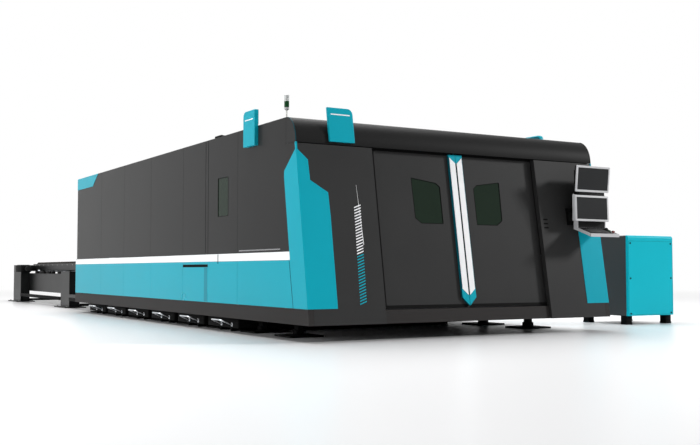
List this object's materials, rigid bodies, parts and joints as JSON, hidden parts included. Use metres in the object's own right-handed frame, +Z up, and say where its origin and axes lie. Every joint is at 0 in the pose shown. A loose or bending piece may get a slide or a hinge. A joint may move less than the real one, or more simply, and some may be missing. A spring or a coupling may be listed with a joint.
{
  "type": "fiber laser cutting machine",
  "caption": "Enclosed fiber laser cutting machine for sheet metal, with two sliding front doors, a moving gantry and head, an exchange table with two pallets, a console and a power cabinet.",
  "frame": {"origin": "on the floor, at the centre of the bed's four corner anchor holes", "axes": "+X to the operator's right, +Y from the front doors to the exchange table, +Z up"},
  "size_m": [6.1, 15.777, 2.607],
  "materials": {
    "frame_grey": "satin",
    "bed_grey": "satin",
    "dark_panel": "satin",
    "front_dark": "satin",
    "skirt_dark": "matte",
    "teal_panel": "satin",
    "white_strip": "gloss",
    "steel": "satin",
    "rail_steel": "polished",
    "slat_steel": "matte",
    "anodised": "satin",
    "copper": "polished",
    "window_tint": "gloss",
    "beacon": "gloss",
    "console_light": "satin",
    "console_black": "satin",
    "screen_glass": "gloss",
    "key_black": "matte",
    "stop_red": "gloss",
    "start_green": "gloss"
  },
  "bodies": {
    "base": {"bed_frame": "bed_grey", "levelling_feet": "skirt_dark", "guide_rails": "rail_steel", "housing_frame": "frame_grey", "plinth_skirt": "skirt_dark", "upper_side_panels": "dark_panel", "lower_side_panels": "teal_panel", "side_stripes": "white_strip", "front_panels": "front_dark", "front_canopy": "front_dark", "corner_covers": "teal_panel", "roof_panels": "dark_panel", "rear_wall": "dark_panel", "side_windows": "window_tint", "sign_plates": "teal_panel", "stack_light": "beacon", "exchange_frame": "dark_panel", "lift_columns": "steel", "console_bracket": "steel", "cabinet_body": "front_dark", "cabinet_front": "teal_panel"},
    "door_left": {"door_left": "front_dark", "door_left_window": "window_tint", "door_left_trim": "teal_panel", "door_left_bar": "white_strip"},
    "door_right": {"door_right": "front_dark", "door_right_window": "window_tint", "door_right_trim": "teal_panel", "door_right_bar": "white_strip"},
    "service_flap": {"service_flap": "teal_panel"},
    "gantry": {"gantry_beam": "frame_grey", "gantry_saddles": "steel", "gantry_motors": "key_black", "beam_rails": "rail_steel"},
    "carriage": {"head_carriage": "steel"},
    "head": {"z_slide": "anodised", "cutting_head": "anodised", "nozzle": "copper"},
    "lift": {"lift_frame": "dark_panel"},
    "pallet_inner": {"pallet_inner": "dark_panel", "slats_inner": "slat_steel"},
    "pallet_outer": {"pallet_outer": "dark_panel", "slats_outer": "slat_steel"},
    "wheels_inner_front": {"wheels_inner_front": "steel"},
    "wheels_inner_rear": {"wheels_inner_rear": "steel"},
    "wheels_outer_front": {"wheels_outer_front": "steel"},
    "wheels_outer_rear": {"wheels_outer_rear": "steel"},
    "console": {"console_body": "console_black", "console_shelf": "console_light", "monitors": "console_light", "screens": "screen_glass", "keyboard": "key_black"},
    "stop_button": {"stop_button": "stop_red"},
    "start_button": {"start_button": "start_green"},
    "slag_tray_1": {"slag_tray_1": "skirt_dark"},
    "slag_tray_2": {"slag_tray_2": "skirt_dark"},
    "slag_tray_3": {"slag_tray_3": "skirt_dark"},
    "slag_tray_4": {"slag_tray_4": "skirt_dark"},
    "slag_tray_5": {"slag_tray_5": "skirt_dark"},
    "slag_tray_6": {"slag_tray_6": "skirt_dark"}
  },
  "joints": [
    {"name": "door_left_slide", "type": "slide", "parent": "base", "child": "door_left", "axis": [-1, 0, 0], "range_m": [0, 0.85]},
    {"name": "door_right_slide", "type": "slide", "parent": "base", "child": "door_right", "axis": [1, 0, 0], "range_m": [0, 0.85]},
    {"name": "service_flap_hinge", "type": "hinge", "parent": "base", "child": "service_flap", "pos_m": [-2.02, -1.5955, 0.335], "axis": [0, -1, 0], "range_deg": [0, 90]},
    {"name": "gantry_slide", "type": "slide", "parent": "base", "child": "gantry", "axis": [0, 1, 0], "range_m": [0, 6.05]},
    {"name": "carriage_slide", "type": "slide", "parent": "gantry", "child": "carriage", "axis": [1, 0, 0], "range_m": [-1.25, 1.25]},
    {"name": "head_slide", "type": "slide", "parent": "carriage", "child": "head", "axis": [0, 0, 1], "range_m": [-0.3, 0]},
    {"name": "lift_slide", "type": "slide", "parent": "base", "child": "lift", "axis": [0, 0, 1], "range_m": [-0.25, 0]},
    {"name": "pallet_inner_slide", "type": "slide", "parent": "base", "child": "pallet_inner", "axis": [0, 1, 0], "range_m": [0, 7.15]},
    {"name": "pallet_outer_slide", "type": "slide", "parent": "lift", "child": "pallet_outer", "axis": [0, -1, 0], "range_m": [0, 7.15]},
    {"name": "wheels_inner_front_spin", "type": "hinge", "parent": "pallet_inner", "child": "wheels_inner_front", "pos_m": [0, -1.985, 0.4453], "axis": [1, 0, 0], "continuous": true},
    {"name": "wheels_inner_rear_spin", "type": "hinge", "parent": "pallet_inner", "child": "wheels_inner_rear", "pos_m": [0, 2.415, 0.4453], "axis": [1, 0, 0], "continuous": true},
    {"name": "wheels_outer_front_spin", "type": "hinge", "parent": "pallet_outer", "child": "wheels_outer_front", "pos_m": [0, 5.165, 0.6953], "axis": [1, 0, 0], "continuous": true},
    {"name": "wheels_outer_rear_spin", "type": "hinge", "parent": "pallet_outer", "child": "wheels_outer_rear", "pos_m": [0, 9.565, 0.6953], "axis": [1, 0, 0], "continuous": true},
    {"name": "slag_tray_1_slide", "type": "slide", "parent": "base", "child": "slag_tray_1", "axis": [-1, 0, 0], "range_m": [0, 2.6]},
    {"name": "slag_tray_2_slide", "type": "slide", "parent": "base", "child": "slag_tray_2", "axis": [-1, 0, 0], "range_m": [0, 2.6]},
    {"name": "slag_tray_3_slide", "type": "slide", "parent": "base", "child": "slag_tray_3", "axis": [-1, 0, 0], "range_m": [0, 2.6]},
    {"name": "slag_tray_4_slide", "type": "slide", "parent": "base", "child": "slag_tray_4", "axis": [-1, 0, 0], "range_m": [0, 2.6]},
    {"name": "slag_tray_5_slide", "type": "slide", "parent": "base", "child": "slag_tray_5", "axis": [-1, 0, 0], "range_m": [0, 2.6]},
    {"name": "slag_tray_6_slide", "type": "slide", "parent": "base", "child": "slag_tray_6", "axis": [-1, 0, 0], "range_m": [0, 2.6]},
    {"name": "console_swing", "type": "hinge", "parent": "base", "child": "console", "pos_m": [1.545, -4.485, 1.35], "axis": [0, 0, -1], "range_deg": [0, 60]},
    {"name": "stop_button_press", "type": "slide", "parent": "console", "child": "stop_button", "axis": [0, 0.3252, -0.9457], "range_m": [0, 0.005], "stiffness_N_per_m": 2000},
    {"name": "start_button_press", "type": "slide", "parent": "console", "child": "start_button", "axis": [0, 0.3252, -0.9457], "range_m": [0, 0.003], "stiffness_N_per_m": 2000}
  ],
  "couplings": [
    {"joint": "wheels_inner_front_spin", "follows": "pallet_inner_slide", "rad_per_m": -25},
    {"joint": "wheels_inner_rear_spin", "follows": "pallet_inner_slide", "rad_per_m": -25},
    {"joint": "wheels_outer_front_spin", "follows": "pallet_outer_slide", "rad_per_m": 25},
    {"joint": "wheels_outer_rear_spin", "follows": "pallet_outer_slide", "rad_per_m": 25}
  ]
}
